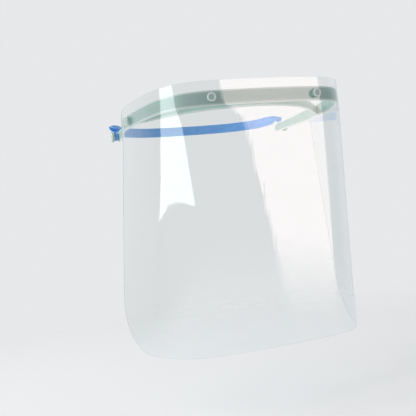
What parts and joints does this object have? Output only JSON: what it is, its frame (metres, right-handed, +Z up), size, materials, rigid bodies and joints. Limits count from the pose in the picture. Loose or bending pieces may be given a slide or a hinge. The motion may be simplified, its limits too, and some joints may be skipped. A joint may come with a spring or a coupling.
{
  "type": "face shield",
  "caption": "Wrap-round clear visor hooked on studs of a translucent head frame, with a forehead band, side arms and an elastic head strap that swings on knobs.",
  "frame": {"origin": "middle of the head opening, level with the middle of the visor band's height", "axes": "+X towards the wearer's left, +Y from the visor towards the back of the head, +Z up"},
  "size_m": [0.2228, 0.2211, 0.2201],
  "materials": {
    "frame_plastic": "translucent mint moulding with a satin skin",
    "stud_plastic": "the same moulding, glossier at the studs and knobs",
    "clear_sheet": "clear glossy polyester sheet",
    "elastic": "blue woven elastic webbing"
  },
  "bodies": {
    "frame": {"visor_band": "frame_plastic", "forehead_band": "frame_plastic", "right_arm": "frame_plastic", "left_arm": "frame_plastic", "right_front_stud": "stud_plastic", "left_front_stud": "stud_plastic", "right_side_stud": "stud_plastic", "left_side_stud": "stud_plastic", "right_strap_knob": "stud_plastic", "left_strap_knob": "stud_plastic", "visor": "clear_sheet"},
    "strap": {"elastic_strap": "elastic", "right_strap_loop": "elastic", "left_strap_loop": "elastic"}
  },
  "joints": [
    {"name": "strap_swing", "type": "hinge", "parent": "frame", "child": "strap", "pos_m": [0, 0.043, -0.002], "axis": [1, 0, 0], "range_deg": [-100, 80]}
  ]
}
